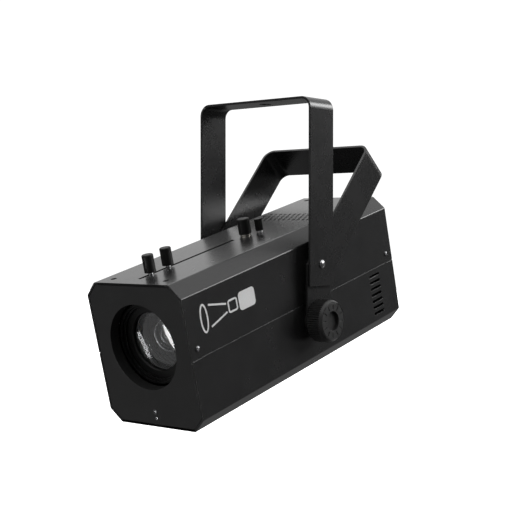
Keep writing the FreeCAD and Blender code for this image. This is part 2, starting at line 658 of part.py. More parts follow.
def gobo_shaft():
    low = AXIS_Z + FACE_TEETH * MODULE / 2 - FACE_WIDTH / 2
    return [rod((0, WHEEL_SHAFT_Y, low), (0, 0, 1), SHAFT_R, TOP_Z + 14 - low)]


def gobo_knob_bush():
    bush = rod((0, WHEEL_SHAFT_Y, ROOF - 8), (0, 0, 1), 4.0, 10).fuse(
        rod((0, WHEEL_SHAFT_Y, TOP_Z), (0, 0, 1), 5.5, 1.9))
    bush = bush.fuse(rod((0, WHEEL_SHAFT_Y, ROOF - 3), (0, 0, 1), 5.5, 3))
    return [bush.cut(rod((0, WHEEL_SHAFT_Y, ROOF - 8), (0, 0, 1), SHAFT_R + RUNNING, 14))]


def gobo_knob():
    knob = rod((0, WHEEL_SHAFT_Y, KNOB_BASE), (0, 0, 1), 6.5, 15.2).fuse(
        Part.makeCone(6.5, 5.8, 0.8, V(0, WHEEL_SHAFT_Y, KNOB_BASE + 15.2)))
    return [knob.cut(rod((0, WHEEL_SHAFT_Y, TOP_Z), (0, 0, 1), SHAFT_R, 14))]


def gate_thumbscrew():
    x, y = GATE_SCREW
    rim = []
    for k in range(48):
        r = 4.0 if k % 2 else 3.65
        rim.append((x + r * math.cos(k * math.pi / 24), y + r * math.sin(k * math.pi / 24), KNOB_BASE))
    grip = prism(rim, (0, 0, 12.3))
    neck = rod((x, y, TOP_Z + 0.2), (0, 0, 1), 3.0, KNOB_BASE - TOP_Z - 0.2)
    thread = rod((x, y, ROOF - 9), (0, 0, 1), 2.0, 11.2)
    return [fused([grip, neck, thread])]


# ---------------------------------------------------------------- lamp engine

def condenser_holder():
    back = GATE_Y + PLATE
    return [turned([(27, back), (38, back), (38, back + 2), (32, back + 2), (32, CONDENSER_END),
                    (29.5, CONDENSER_END), (29.5, back + 4), (27, back + 4)])]


def condenser_lens():
    return lens(22.0, 3.0, 29.5, 8.0, 0.4)


def led_board():
    return [box((-20, 20), (BOARD_Y, BOARD_Y + SHEET), (AXIS_Z - 20, AXIS_Z + 20))]


def led_emitter():
    base = box((-12, 12), (BOARD_Y - 1, BOARD_Y), (AXIS_Z - 12, AXIS_Z + 12))
    dome = rod((0, BOARD_Y - 1.8, AXIS_Z), (0, 1, 0), 9, 0.8)
    return [base.fuse(dome)]


def heat_sink():
    z = (AXIS_Z - SINK_HALF, AXIS_Z + SINK_HALF)
    base = box((-SINK_HALF, SINK_HALF), (SINK_Y[0], SINK_Y[0] + SINK_BASE), z)
    count = 12
    pitch = (2 * SINK_HALF - SHEET) / (count - 1)
    fin_y = (SINK_Y[0] + SINK_BASE, SINK_Y[1])
    fins = [box((k * pitch - SINK_HALF, k * pitch - SINK_HALF + SHEET), fin_y, z) for k in range(count)]
    return [fused([base] + fins)]


def sink_bracket():
    y = (64.0, SINK_Y[1])
    floor = box((-SINK_HALF - SHEET, SINK_HALF + SHEET), y, (FLOOR, FLOOR + SHEET))
    sides = [box(sorted((s * SINK_HALF, s * (SINK_HALF + SHEET))), y, (FLOOR, AXIS_Z)) for s in (1, -1)]
    return [fused([floor] + sides)]


def fan_frame():
    """A square axial-fan frame: round duct, and three struts to the motor cup behind the blades."""
    y = (SINK_Y[1], SINK_Y[1] + FAN_DEPTH)
    frame = box((-FAN_HALF, FAN_HALF), y, (AXIS_Z - FAN_HALF, AXIS_Z + FAN_HALF))
    frame = frame.cut(rod((0, y[0], AXIS_Z), (0, 1, 0), 38.5, FAN_DEPTH))
    shapes = [frame, rod((0, y[1] - 3, AXIS_Z), (0, 1, 0), 16, 3)]
    for angle in (0, 120, 240):
        strut = box((14, 39), (y[1] - 3, y[1]), (-2, 2))
        strut.rotate(V(0, 0, 0), V(0, 1, 0), angle)
        strut.translate(V(0, 0, AXIS_Z))
        shapes.append(strut)
    whole = fused(shapes)
    for x, z in fan_corners():
        whole = whole.cut(rod((x, y[0], AXIS_Z + z), (0, 1, 0), FAN_HOLE_R, FAN_DEPTH))
    return [whole.cut(rod((0, y[1] - 4, AXIS_Z), (0, 1, 0), M3 + RUNNING, 5))]


def fan_corners():
    reach = FAN_HALF - 4.3
    return [(x, z) for x in (-reach, reach) for z in (-reach, reach)]


def fan_impeller():
    y = SINK_Y[1] + 1.0
    depth = 10.4
    shapes = [rod((0, y, AXIS_Z), (0, 1, 0), 16, depth)]
    for k in range(7):
        blade = box((15, 37), (-0.7, 0.7), (-9, 9))
        blade.rotate(V(0, 0, 0), V(1, 0, 0), 62)
        blade.translate(V(0, y + depth / 2, 0))
        blade.rotate(V(0, 0, 0), V(0, 1, 0), k * 360 / 7)
        blade.translate(V(0, 0, AXIS_Z))
        shapes.append(blade)
    rotor = fused(shapes).common(rod((0, y, AXIS_Z), (0, 1, 0), 37.2, depth))
    return [rotor.fuse(rod((0, y, AXIS_Z), (0, 1, 0), M3, depth + 3.2)).removeSplitter()]


def power_supply_board():
    return [box((-50, 50), (-SUPPLY_HALF_Y, SUPPLY_HALF_Y), (SUPPLY_Z, SUPPLY_Z + SHEET))]


def power_supply_parts():
    """Transformer, choke, two capacitors and the output terminal, each soldered to the board."""
    top = SUPPLY_Z + SHEET
    return [box((-20, 12), (-22, 8), (top, top + 20)),
            box((-44, -26), (22, 42), (top, top + 14)),
            rod((30, -38, top), (0, 0, 1), 8, 20),
            rod((34, -14, top), (0, 0, 1), 6.3, 18),
            box((-38, -26), (-52, -36), (top, top + 12)),
            box((-22, 22), (34, 38), (top, top + 8))]


def board_standoffs():
    return [rod((x, y, FLOOR), (0, 0, 1), 3.5, SUPPLY_Z - FLOOR) for x in (-44, 44) for y in (-54, 54)]


def lamp_leads():
    """Two leads up from the supply board that curve into the face of the lamp board."""
    bend, y, start = 5.0, BOARD_Y - 5.0, SUPPLY_Z + SHEET
    corner = AXIS_Z - 18.5
    leads = []
    for x in (-15, 15):
        arc = Part.Arc(V(x, y, corner), V(x, y + bend * (1 - math.sqrt(0.5)), corner + bend * math.sqrt(0.5)),
                       V(x, y + bend, corner + bend))
        path = Part.Wire([Part.makeLine(V(x, y, start), V(x, y, corner)), arc.toShape()])
        circle = Part.Wire([Part.makeCircle(1.0, V(x, y, start), V(0, 0, 1))])
        leads.append(path.makePipeShell([circle], True, False))
    return leads


def mains_leads():
    """Three leads forward from the inlet's pins that curve down onto the supply board."""
    bend, end = 10.0, REAR_Y - PLATE_SET_BACK - 28.0
    side = bend * (1 - math.sqrt(0.5))
    board, y = SUPPLY_Z + SHEET, SUPPLY_HALF_Y - 5.0
    leads = []
    for x, z in PIN_PLACES:
        arc = Part.Arc(V(x, y + bend, z), V(x, y + side, z - side), V(x, y, z - bend))
        path = Part.Wire([Part.makeLine(V(x, end, z), V(x, y + bend, z)), arc.toShape(),
                          Part.makeLine(V(x, y, z - bend), V(x, y, board))])
        circle = Part.Wire([Part.makeCircle(1.2, V(x, end, z), V(0, -1, 0))])
        leads.append(path.makePipeShell([circle], True, False))
    return leads


# ---------------------------------------------------------------- rear fittings

def inlet_housing():
    """A panel inlet with three pins and, above the socket, a well for the fuse drawer."""
    face = REAR_Y - PLATE_SET_BACK
    front = face - 24
    flange = box((-25, 25), (face, face + INLET_FLANGE), (INLET_Z - 13, INLET_Z + 24))
    body = box((-14, 14), (front, face), (INLET_Z - 11, INLET_Z + 22))
    shape = fused([flange, body])
    mouth = face + INLET_FLANGE
    cuts = [box((-12.3, 12.3), (mouth - SOCKET_DEPTH, mouth + 1), (INLET_Z - 8.6, INLET_Z + 8.6)),
            box((-DRAWER_HALF - 0.15, DRAWER_HALF + 0.15), (mouth - 20.5, mouth + 1),
                (DRAWER_Z[0] - 0.15, DRAWER_Z[1] + 0.15))]
    cuts += [rod((s * INLET_SCREW_X, face - 1, INLET_Z), (0, 1, 0), M3, 6) for s in (1, -1)]
    sink = SUNK_HEAD_R - M3
    cuts += [Part.makeCone(M3, SUNK_HEAD_R, sink, V(s * INLET_SCREW_X, mouth - sink, INLET_Z), V(0, 1, 0))
             for s in (1, -1)]
    cuts += [box((x - 1, x + 1), (front - 1, mouth), (z - 2, z + 2)) for x, z in PIN_PLACES]
    for cutter in cuts:
        shape = shape.cut(cutter)
    return [shape]


def inlet_pins():
    back = REAR_Y - PLATE_SET_BACK - 24
    mouth = REAR_Y - PLATE_SET_BACK + INLET_FLANGE
    return [box((x - 1, x + 1), (back - 4, mouth - 4), (z - 2, z + 2)) for x, z in PIN_PLACES]


def fuse_drawer():
    mouth = REAR_Y - PLATE_SET_BACK + INLET_FLANGE
    tray = box((-DRAWER_HALF, DRAWER_HALF), (mouth - 20, mouth), DRAWER_Z)
    tray = tray.cut(box((-9, 9), (mouth - 18, mouth - 3), (DRAWER_Z[0] + 1.5, DRAWER_Z[1] + 1)))
    grip = box((-5, 5), (mouth, mouth + 1.5), (DRAWER_Z[0] + 2, DRAWER_Z[0] + 4))
    return [tray.fuse(grip).removeSplitter()]


def fuse_link():
    mouth = REAR_Y - PLATE_SET_BACK + INLET_FLANGE
    z = DRAWER_Z[0] + 1.5 + 2.5
    glass = rod((-7, mouth - 10, z), (1, 0, 0), 2.3, 14)
    caps = [rod((x, mouth - 10, z), (1, 0, 0), 2.5, 4) for x in (-9, 5)]
    return [fused([glass] + caps)]


def safety_eye():
    """An eye bolt for the safety cable, through the rear plate, with its nut inside."""
    face = REAR_Y - PLATE_SET_BACK
    shank_r = 3.0
    eye = Part.makeTorus(8.0, 2.5, V(0, face + 13.0, EYE_Z), V(1, 0, 0))
    foot = rod((0, face, EYE_Z), (0, 1, 0), 6.0, 3.0)
    shank = rod((0, face - 8, EYE_Z), (0, 1, 0), shank_r, 12.0)
    corners = [(5.5 * math.cos(k * math.pi / 3), face - PLATE, EYE_Z + 5.5 * math.sin(k * math.pi / 3))
               for k in range(6)]
    nut = prism(corners, (0, -5, 0)).cut(shank)
    return [fused([foot, shank, eye]), nut]


# ---------------------------------------------------------------- nodes

YOKE_NODES = {
    "hanging_yoke": hanging_yoke, "floor_yoke": floor_yoke, "yoke_pivot_screws": yoke_pivot_screws,
    "yoke_pivot_washers": yoke_pivot_washers, "yoke_pivot_nuts": yoke_pivot_nuts,
}
HOUSING_NODES = {
    "top_cover": top_cover, "bottom_pan": bottom_pan, "front_plate": front_plate, "rear_plate": rear_plate,
    "domed_screws": domed_screws, "sunk_screws": sunk_screws,
    "tilt_inserts": tilt_inserts, "tilt_spacers": tilt_spacers,
    "clamp_knob_right": lambda: clamp_knob(1), "clamp_knob_left": lambda: clamp_knob(-1),
    "clamp_stud_right": lambda: clamp_stud(1), "clamp_stud_left": lambda: clamp_stud(-1),
    "clamp_washer_right": lambda: clamp_washer(1), "clamp_washer_left": lambda: clamp_washer(-1),
    "guide_rods": guide_rods, "rod_blocks": rod_blocks,
    "focus_carrier": focus_carrier, "focus_lens": lambda: lens(**FOCUS_LENS),
    "focus_lens_ring": focus_lens_ring,
    "focus_bushes": lambda: carrier_bushes(FOCUS_Y), "focus_knob": lambda: lock_knob(FOCUS_Y),
    "zoom_carrier": zoom_carrier, "zoom_lens": lambda: lens(**ZOOM_LENS), "zoom_lens_ring": zoom_lens_ring,
    "zoom_bushes": lambda: carrier_bushes(ZOOM_Y), "zoom_knob": lambda: lock_knob(ZOOM_Y),
    "gate_plate": gate_plate, "gobo_cassette": gobo_cassette, "gobo_keepers": gobo_keepers,
    "gobo_ring": gobo_ring, "gobo": gobo, "gobo_spring_ring": gobo_spring_ring, "gobo_pinion": gobo_pinion,
    "gobo_shaft": gobo_shaft, "gobo_knob_bush": gobo_knob_bush, "gobo_knob": gobo_knob,
    "gate_thumbscrew": gate_thumbscrew,
    "condenser_holder": condenser_holder, "condenser_lens": condenser_lens, "led_board": led_board,
    "led_emitter": led_emitter, "heat_sink": heat_sink, "sink_bracket": sink_bracket, "fan_frame": fan_frame,
    "fan_impeller": fan_impeller, "power_supply_board": power_supply_board,
    "power_supply_parts": power_supply_parts, "board_standoffs": board_standoffs, "lamp_leads": lamp_leads,
    "mains_leads": mains_leads, "inlet_housing": inlet_housing, "inlet_pins": inlet_pins,
    "fuse_drawer": fuse_drawer, "fuse_link": fuse_link, "safety_eye": safety_eye,
}


def export(nodes, place):
    for name, make in nodes.items():
        solids = make()
        shape = solids[0] if len(solids) == 1 else Part.makeCompound(solids)
        shape = shape.copy()
        shape.Placement = place.multiply(shape.Placement)
        shape.exportStep("parts/%s.step" % name)
        volume = round(shape.Volume / 1000, 2)
        print(name, "solids", len(shape.Solids), "valid", shape.isValid(), "cm3", volume)


os.makedirs("parts", exist_ok=True)
drop = V(0, 0, -YOKE_RISE)
export(YOKE_NODES, FreeCAD.Placement(drop, FreeCAD.Rotation()))
export(HOUSING_NODES, FreeCAD.Placement(drop, FreeCAD.Rotation(V(1, 0, 0), TILT)))
print("nodes", len(YOKE_NODES) + len(HOUSING_NODES))
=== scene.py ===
"""Looks of a compact profile spotlight in a double yoke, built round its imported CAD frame.

Metres, unless a comment says millimetres. The lens looks towards -Y, and the housing hangs
nose-down on its tilt axis.
"""

import json
import math

import bmesh
import bpy
from mathutils import Matrix, Vector


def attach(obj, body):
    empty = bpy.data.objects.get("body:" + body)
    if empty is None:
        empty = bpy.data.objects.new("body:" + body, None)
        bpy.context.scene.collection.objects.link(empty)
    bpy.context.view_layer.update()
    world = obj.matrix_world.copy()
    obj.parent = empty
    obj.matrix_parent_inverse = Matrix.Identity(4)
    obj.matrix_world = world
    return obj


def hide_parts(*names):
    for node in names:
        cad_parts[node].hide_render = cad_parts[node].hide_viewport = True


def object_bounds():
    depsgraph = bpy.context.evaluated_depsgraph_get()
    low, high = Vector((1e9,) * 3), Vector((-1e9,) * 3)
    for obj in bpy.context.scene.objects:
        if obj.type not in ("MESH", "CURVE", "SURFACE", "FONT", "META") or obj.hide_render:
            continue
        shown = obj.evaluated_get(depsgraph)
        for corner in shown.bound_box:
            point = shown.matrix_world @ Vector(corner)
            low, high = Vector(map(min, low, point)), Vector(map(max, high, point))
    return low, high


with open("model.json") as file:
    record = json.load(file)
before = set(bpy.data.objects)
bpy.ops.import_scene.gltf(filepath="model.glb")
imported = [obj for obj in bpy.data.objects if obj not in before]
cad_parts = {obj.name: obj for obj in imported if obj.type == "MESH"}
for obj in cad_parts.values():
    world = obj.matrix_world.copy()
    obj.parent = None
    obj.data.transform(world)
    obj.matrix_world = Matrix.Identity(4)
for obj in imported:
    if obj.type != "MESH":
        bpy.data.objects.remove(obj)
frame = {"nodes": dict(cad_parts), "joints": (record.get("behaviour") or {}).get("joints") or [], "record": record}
cad_low, cad_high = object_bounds()
NODES = frame["nodes"]
JOINTS = {joint["name"]: joint for joint in frame["joints"]}
SLOTS = {part["node"]: part["material_slot"] for part in frame["record"]["subparts"]}
MM = 0.001

# The housing's own frame: origin on the tilt axis, Y along the optical axis
TILT_AXIS = Vector(JOINTS["housing_tilt"]["pos_m"])
OPTICAL_AXIS = Vector(JOINTS["gobo_wheel_spin"]["axis"])
OPTICAL_CENTRE = Vector(JOINTS["gobo_wheel_spin"]["pos_m"])
TILT = math.atan2(OPTICAL_AXIS.z, OPTICAL_AXIS.y)
HOUSING = Matrix.Translation(TILT_AXIS) @ Matrix.Rotation(TILT, 4, "X")
HOUSING_UP = HOUSING.to_3x3() @ Vector((0, 0, 1))
LENS_FRAME = Matrix.Translation(OPTICAL_CENTRE) @ Matrix.Rotation(TILT, 4, "X")

# Sizes of the housing, with heights over the tilt axis
HALF_WIDTH = 61.5 * MM
KNOB_NECK_END = 92.95 * MM  # below this the roof's knobs show their steel necks
ROOF_HEIGHT = 90.8 * MM
ROOF_WALL = 2.0 * MM
CUT_START = 0.04 * MM       # an opening's cut edge counts from this far below the roof's outer face
ROOF_HALF = 44.0 * MM       # all the roof's openings lie within this of its middle
APERTURE_R = 42.0 * MM
SKIN = 0.05 * MM            # slack when a surface is found by its place

# Glass, in millimetres: places along the optical axis, and distances from it
FRONT_SHELL = {"front": -158.5, "edge": 2.0, "radius": 30.5, "front_rise": 5.6, "rear_rise": -4.6}
REAR_SHELL = {"front": -156.4, "edge": 1.9, "radius": 30.5, "front_rise": -3.0, "rear_rise": 4.0}
ZOOM_LENS = {"front": -124.3, "edge": 5.0, "radius": 30.0, "front_rise": 5.0, "rear_rise": 5.0}
WINDOW_FRONT = -142.4
WINDOW_REAR = -141.0
WINDOW_R = 35.8
WINDOW_RINGS = ((14.6, 1.0), (7.6, 0.7), (3.4, 0.5))  # radius, wire radius
WIRE_FACETS = 12

# Pictogram on the side, in millimetres: y and z in the housing's frame
LAMP = {"y": (-104, -80), "z": (43, 61), "radius": 4}
BARREL = {"y": (-119, -107), "z": (46.5, 57.5), "radius": 2}
POOL_CENTRE = (-154, 52)
POOL_HALF = (4.5, 13)
BEAM_UPPER = [(-122, 56), (-146, 62.5)]
BEAM_LOWER = [(-122, 48), (-146, 41.5)]
HALF_STROKE = 0.9
INK_DEPTH = 0.08

# Camera
CAMERA_PLACE = Vector((0.77744, -0.94885, -0.13808))
CAMERA_LOOK = Vector((-0.63964, 0.76845, -0.018528))
CAMERA_LENS = 82.37
SENSOR = 36.0

# Studio
FLOOR_DROP = 0.30           # floor below the lowest point of the object
FLOOR_RADIUS = 9.0
PAPER_GLOW = 0.95           # what the floor's paper gives off
BACKDROP = 1.1              # the sky, to the camera
WALLS, CEILING = 0.06, 1.25
CEILING_EDGE = (0.35, 0.75)  # upward part of the direction where walls turn into ceiling
# Direction, inner and outer angle in degrees, level
GLOWS = [((-0.64, 0.66, 0.42), 6, 29, 0.77),
         ((-0.64, -0.66, -0.40), 20, 60, 0.17),
         ((-0.22, 0.88, -0.43), 12, 45, 0.16),
         ((-0.64, 0.13, -0.76), 5, 35, 0.10),
         ((0.10, -0.98, -0.18), 10, 40, 0.50),
         ((0.64, 0.77, -0.02), 10, 50, 0.06)]
MASK_START = 0.02           # a softbox is cut off where the direction turns away from it
# Direction, half width, half height, level, blur and, for the second, roll
SOFTBOXES = [((0.57, 0.71, 0.41), 0.47, 0.14, 9.0, 0.05),
             ((-0.305, -0.865, -0.39), 0.05, 0.25, 16.0, 0.02, 14.0)]

# Ranges and tones of the finishes
MIDDLE = (0.3, 0.7)         # where most of a noise's values lie
UNIT = (0.0, 1.0)
PAINT_TINT = (1.0, 1.0, 1.02)
# Painted shade: the dead black set inside the roof's openings and the plate's aperture
PAINTED_SHADE_BLACK = 0.0015
NECK_STEEL = (0.72, 0.72, 0.74, 1.0)


# ---------------------------------------------------------------- shader graphs

class Graph:
    """Wires shader nodes. A value may be a number, a tuple or another node's output."""

    def __init__(self, tree):
        self.tree = tree

    def put(self, socket, value):
        if isinstance(value, bpy.types.NodeSocket):
            self.tree.links.new(value, socket)
        else:
            socket.default_value = value

    def node(self, kind, inputs=None, **settings):
        node = self.tree.nodes.new(kind)
        for name, value in settings.items():
            setattr(node, name, value)
        for name, value in (inputs or {}).items():
            self.put(node.inputs[name], value)
        return node

    def math(self, operation, *values):
        node = self.node("ShaderNodeMath", operation=operation)
        for socket, value in zip(node.inputs, values):
            self.put(socket, value)
        return node.outputs[0]

    def dot(self, first, second):
        node = self.node("ShaderNodeVectorMath", operation="DOT_PRODUCT")
        self.put(node.inputs[0], first)
        self.put(node.inputs[1], second)
        return node.outputs["Value"]

    def place(self):
        """Place of the surface in the row frame."""
        return self.node("ShaderNodeTexCoord").outputs["Object"]

    def from_optical_axis(self):
        """Distance of the surface from the optical axis."""
        offset = self.node("ShaderNodeVectorMath", operation="SUBTRACT")
        self.put(offset.inputs[0], self.place())
        self.put(offset.inputs[1], OPTICAL_CENTRE)
        across = self.node("ShaderNodeVectorMath", operation="CROSS_PRODUCT")
        self.put(across.inputs[0], offset.outputs[0])
        self.put(across.inputs[1], OPTICAL_AXIS)
        length = self.node("ShaderNodeVectorMath", operation="LENGTH")
        self.put(length.inputs[0], across.outputs[0])
        return length.outputs["Value"]

    def over_tilt_axis(self):
        """Height of the surface over the tilt axis, in the housing's frame."""
        return self.math("SUBTRACT", self.dot(self.place(), HOUSING_UP), HOUSING_UP.dot(TILT_AXIS))

    def axis(self, name):
        """Place of the surface along one of the row frame's axes."""
        return self.node("ShaderNodeSeparateXYZ", {"Vector": self.place()}).outputs[name]

    def noise(self, size, detail=2.0, roughness=0.5, stretch=(1, 1, 1)):
        """Noise whose blobs are about size metres across."""
        scaled = self.node("ShaderNodeMapping", {"Vector": self.place(), "Scale": stretch}).outputs[0]
        return self.node("ShaderNodeTexNoise", {"Vector": scaled, "Scale": 1 / size, "Detail": detail,
                                                "Roughness": roughness}).outputs["Fac"]

    def cells(self, size):
        """Distance from the middle of cells about size metres across."""
        return self.node("ShaderNodeTexVoronoi", {"Vector": self.place(), "Scale": 1 / size},
                         feature="SMOOTH_F1").outputs["Distance"]

    def fit(self, value, old, new, shape="LINEAR"):
        """Maps the old range of a value onto a new one."""
        return self.node("ShaderNodeMapRange", {"Value": value, "From Min": old[0], "From Max": old[1],
                                                "To Min": new[0], "To Max": new[1]},
                         interpolation_type=shape).outputs["Result"]

    def mix(self, factor, first, second):
        node = self.node("ShaderNodeMix", data_type="RGBA")
        for socket, value in ((node.inputs[0], factor), (node.inputs[6], first), (node.inputs[7], second)):
            self.put(socket, value)
        return node.outputs[2]

    def bump(self, height, depth, normal=None):
        inputs = {"Height": height, "Distance": depth, "Strength": 1.0}
        if normal is not None:
            inputs["Normal"] = normal
        return self.node("ShaderNodeBump", inputs).outputs["Normal"]

    def rounded(self, radius):
        """Normals that round off the edges."""
        return self.node("ShaderNodeBevel", {"Radius": radius}, samples=6).outputs["Normal"]

    def edge_wear(self, radius, break_up):
        """1 on sharp edges and in tight corners, 0 on the flats, broken up by noise."""
        true = self.node("ShaderNodeNewGeometry").outputs["True Normal"]
        edge = self.fit(self.dot(true, self.rounded(radius)), (0.995, 0.93), UNIT)
        return self.math("MULTIPLY", edge, self.fit(break_up, (0.42, 0.62), UNIT))


def grey(value):
    return (value, value, value, 1.0)


def scaled(colour, factor):
    return tuple(min(1.0, c * factor) for c in colour[:3]) + (1.0,)


def new_material(name, **constants):
    """A material, its graph and its shader, with the shader's inputs set from the constants."""
    material = bpy.data.materials.new(name)
    material.use_nodes = True
    shader = material.node_tree.nodes["Principled BSDF"]
    for key, value in constants.items():
        shader.inputs[key.replace("_", " ")].default_value = value
    return material, Graph(material.node_tree), shader


def aperture(graph):
    """1 within the aperture's radius of the optical axis, where the plate gets painted shade; 0 elsewhere."""
    return graph.math("LESS_THAN", graph.from_optical_axis(), APERTURE_R + SKIN)


def roof_openings(graph):
    """1 within the thickness of the roof's flat, on the cut edges of its openings, where the shell gets painted
    shade; 0 elsewhere.
    """
    depth = graph.math("SUBTRACT", ROOF_HEIGHT, graph.over_tilt_axis())
    in_wall = graph.math("MULTIPLY", graph.math("GREATER_THAN", depth, CUT_START),
                         graph.math("LESS_THAN", depth, ROOF_WALL + SKIN))
    near_middle = graph.math("LESS_THAN", graph.math("ABSOLUTE", graph.axis("X")), ROOF_HALF)
    return graph.math("MULTIPLY", in_wall, near_middle)


def powder_coat(name, shade, roughness, painted_shade_mask=None):
    """Baked black powder paint: orange peel, fine grain, a little dust and rubbed edges.

    Where the mask function given last returns 1, the colour is painted shade: dead black and matte, standing in
    for the shade inside openings."""
    material, graph, shader = new_material(name)
    peel = graph.noise(1.1 * MM, 3.0, 0.55)
    grain = graph.cells(0.45 * MM)
    patches = graph.noise(26 * MM, 4.0, 0.6)
    wear = graph.edge_wear(0.7 * MM, graph.noise(5 * MM, 5.0, 0.7))
    base = scaled(PAINT_TINT, shade)
    paint = graph.mix(graph.fit(patches, MIDDLE, UNIT), scaled(base, 0.88), scaled(base, 1.12))
    dust = graph.fit(graph.noise(0.9 * MM, 2.0), (0.68, 0.78), (0.0, 0.2))
    paint = graph.mix(dust, paint, scaled(base, 2.2))
    colour = graph.mix(wear, paint, grey(shade * 3.2))
    rough = graph.fit(patches, (0.25, 0.75), (roughness - 0.015, roughness + 0.02))
    rough = graph.math("SUBTRACT", rough, graph.math("MULTIPLY", wear, 0.04))
    # Painted shade: where the mask is 1, a dead black, matte colour stands in for the shade inside the opening
    if painted_shade_mask:
        painted_shade = painted_shade_mask(graph)
        colour = graph.mix(painted_shade, colour, grey(PAINTED_SHADE_BLACK))
        rough = graph.math("MAXIMUM", rough, graph.math("MULTIPLY", painted_shade, 0.9))
    graph.put(shader.inputs["Base Color"], colour)
    graph.put(shader.inputs["Roughness"], rough)
    height = graph.math("ADD", peel, graph.math("MULTIPLY", grain, 0.45))
    normal = graph.bump(height, 0.035 * MM, graph.rounded(0.35 * MM))
    graph.put(shader.inputs["Normal"], normal)
    return material


def moulded(name, colour, roughness, neck=None, sheen=0.5):
    """Moulded plastic: spark-eroded grain, slight flow marks and edges polished by handling.

    Below the height of the neck, over the tilt axis, it is plated steel."""
    material, graph, shader = new_material(name, Specular_IOR_Level=sheen)
    base = (*colour, 1.0)
    flow = graph.noise(9 * MM, 3.0, 0.6)
    wear = graph.edge_wear(0.5 * MM, graph.noise(3 * MM, 4.0, 0.7))
    tone = graph.mix(graph.fit(flow, MIDDLE, UNIT), scaled(base, 0.85), scaled(base, 1.15))
    shown = graph.mix(wear, tone, scaled(base, 2.6))
    rough = graph.fit(graph.noise(2.5 * MM, 3.0), MIDDLE, (roughness - 0.05, roughness + 0.05))
    rough = graph.math("SUBTRACT", rough, graph.math("MULTIPLY", wear, 0.1))
    if neck:
        steel = graph.math("LESS_THAN", graph.over_tilt_axis(), neck)
        shown = graph.mix(steel, shown, NECK_STEEL)
        rough = graph.math("SUBTRACT", rough, graph.math("MULTIPLY", steel, 0.2))
        graph.put(shader.inputs["Metallic"], steel)
    graph.put(shader.inputs["Base Color"], shown)
    graph.put(shader.inputs["Roughness"], rough)
    height = graph.math("ADD", graph.noise(0.35 * MM, 2.0), graph.math("MULTIPLY", flow, 1.5))
    graph.put(shader.inputs["Normal"], graph.bump(height, 0.012 * MM, graph.rounded(0.2 * MM)))
    return material


def metal(name, colour, roughness, lines=(1, 1, 1), depth=0.004 * MM):
    """Bare or plated metal: fine machining lines along the stretched direction, and faint stains."""
    material, graph, shader = new_material(name, Metallic=1.0)
    base = (*colour, 1.0)
    patches = graph.noise(6 * MM, 5.0, 0.65)
    tooling = graph.noise(0.5 * MM, 3.0, 0.6, lines)
    tone = graph.mix(graph.fit(patches, (0.35, 0.65), UNIT), base, scaled(base, 0.8))
    graph.put(shader.inputs["Base Color"], tone)
    rough = graph.math("ADD", graph.fit(patches, MIDDLE, (roughness - 0.04, roughness + 0.06)),
                       graph.fit(tooling, MIDDLE, (-0.03, 0.05)))
    graph.put(shader.inputs["Roughness"], rough)
    graph.put(shader.inputs["Normal"], graph.bump(tooling, depth, graph.rounded(0.15 * MM)))
    return material


def anodised(name, shade, roughness):
    """Black anodised aluminium with turning lines across the optical axis, and lighter edges: partly worn anodise,
    partly a painted highlight along the rims.
    """
    material, graph, shader = new_material(name, Specular_IOR_Level=0.3)
    lines = graph.noise(0.35 * MM, 2.0, 0.6, (0.15, 1.6, 0.15))
    patches = graph.noise(12 * MM, 3.0)
    tone = graph.mix(graph.fit(patches, MIDDLE, UNIT), grey(shade * 0.8), grey(shade * 1.25))
    wear = graph.edge_wear(0.3 * MM, graph.noise(2.5 * MM, 4.0, 0.7))
    # Lighter edges and corners: worn anodise, and also a painted highlight along the ring rims
    graph.put(shader.inputs["Base Color"], graph.mix(wear, tone, grey(0.035)))
    graph.put(shader.inputs["Roughness"], graph.fit(lines, MIDDLE, (roughness - 0.06, roughness + 0.08)))
    graph.put(shader.inputs["Normal"], graph.bump(lines, 0.006 * MM, graph.rounded(0.2 * MM)))
    return material


def optical_glass():
    """Clear glass, very faintly smeared."""
    material, graph, shader = new_material("optical_glass", Transmission_Weight=1.0, IOR=1.52)
    shader.inputs["Base Color"].default_value = (0.985, 0.99, 0.995, 1.0)
    smears = graph.fit(graph.noise(8 * MM, 3.0), (0.5, 0.8), (0.0, 0.008))
    graph.put(shader.inputs["Roughness"], smears)
    return material


def circuit_board():
    """Green solder mask over copper tracks, with tinned pads."""
    material, graph, shader = new_material("circuit_board")
    bricks = {"Vector": graph.place(), "Scale": 130.0, "Mortar Size": 0.035, "Mortar Smooth": 0.2}
    tracks = graph.node("ShaderNodeTexBrick", bricks).outputs["Fac"]
    pads = graph.fit(graph.cells(2.4 * MM), (0.16, 0.2), (1.0, 0.0))
    mask = graph.mix(tracks, (0.01, 0.1, 0.035, 1), (0.03, 0.22, 0.08, 1))
    graph.put(shader.inputs["Base Color"], graph.mix(pads, mask, (0.6, 0.6, 0.58, 1)))
    graph.put(shader.inputs["Metallic"], pads)
    graph.put(shader.inputs["Roughness"], graph.fit(graph.noise(3 * MM), MIDDLE, (0.25, 0.4)))
    graph.put(shader.inputs["Normal"], graph.bump(graph.math("ADD", tracks, pads), 0.03 * MM))
    return material


def banded(name, roughness, first, *changes):
    """Plastic that changes colour from one solid of a group to the next, by its place in X.

    Each change is a place and the colour beyond it."""
    material, graph, shader = new_material(name)
    x = graph.axis("X")
    colour = (*first, 1.0)
    for start, tone in changes:
        colour = graph.mix(graph.math("GREATER_THAN", x, start), colour, (*tone, 1.0))
    mottling = graph.fit(graph.noise(4 * MM, 3.0), (0.35, 0.65), (0.0, 0.25))
    graph.put(shader.inputs["Base Color"], graph.mix(mottling, colour, grey(0.02)))
    rough = graph.fit(graph.noise(2 * MM), MIDDLE, (roughness - 0.06, roughness + 0.06))
    graph.put(shader.inputs["Roughness"], rough)
    normal = graph.bump(graph.noise(0.4 * MM), 0.02 * MM, graph.rounded(0.3 * MM))
    graph.put(shader.inputs["Normal"], normal)
    return material


